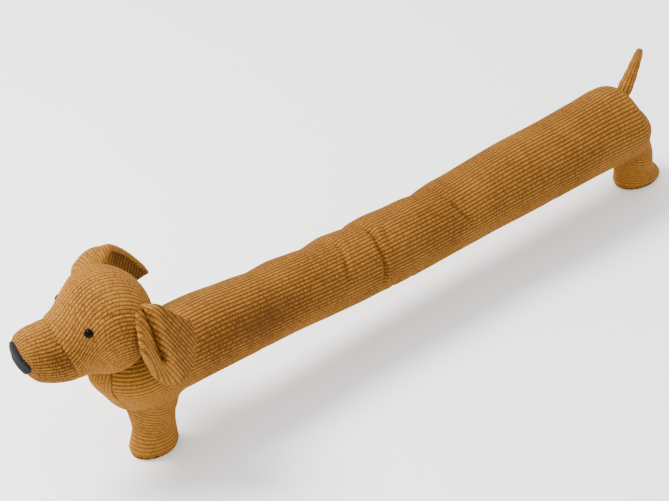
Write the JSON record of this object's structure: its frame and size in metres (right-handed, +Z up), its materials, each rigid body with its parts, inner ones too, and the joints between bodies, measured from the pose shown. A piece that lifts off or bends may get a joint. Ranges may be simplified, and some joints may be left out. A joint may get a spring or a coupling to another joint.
{
  "type": "draught excluder",
  "caption": "Long stuffed corduroy draught excluder shaped as a sausage dog: filled tube on stubby feet, ball head with muzzle, felt nose, floppy ears and upright tail.",
  "frame": {"origin": "centre of the whole dog's box in plan, on the surface it stands on", "axes": "+X runs from the head to the tail, +Z is up, and the dog's left side faces -Y"},
  "size_m": [0.9236, 0.1528, 0.2389],
  "materials": {
    "body_corduroy": "matte wide-wale cotton corduroy, golden tan",
    "chest_gusset_corduroy": "matte wide-wale cotton corduroy, golden tan",
    "front_sole_corduroy": "matte wide-wale cotton corduroy, golden tan",
    "rear_sole_corduroy": "matte wide-wale cotton corduroy, golden tan",
    "head_corduroy": "matte wide-wale cotton corduroy, golden tan",
    "muzzle_corduroy": "matte wide-wale cotton corduroy, golden tan",
    "nose_patch_felt": "matte wool felt, dark slate grey",
    "eye_left_bead": "glossy black",
    "eye_right_bead": "glossy black",
    "ear_left_corduroy": "matte wide-wale cotton corduroy, golden tan",
    "ear_right_corduroy": "matte wide-wale cotton corduroy, golden tan",
    "tail_corduroy": "matte wide-wale cotton corduroy, golden tan"
  },
  "bodies": {
    "root": {"body": "body_corduroy", "chest_gusset": "chest_gusset_corduroy", "front_sole": "front_sole_corduroy", "rear_sole": "rear_sole_corduroy", "head": "head_corduroy", "muzzle": "muzzle_corduroy", "nose_patch": "nose_patch_felt", "eye_left": "eye_left_bead", "eye_right": "eye_right_bead", "ear_left": "ear_left_corduroy", "ear_right": "ear_right_corduroy", "tail": "tail_corduroy"}
  },
  "joints": []
}
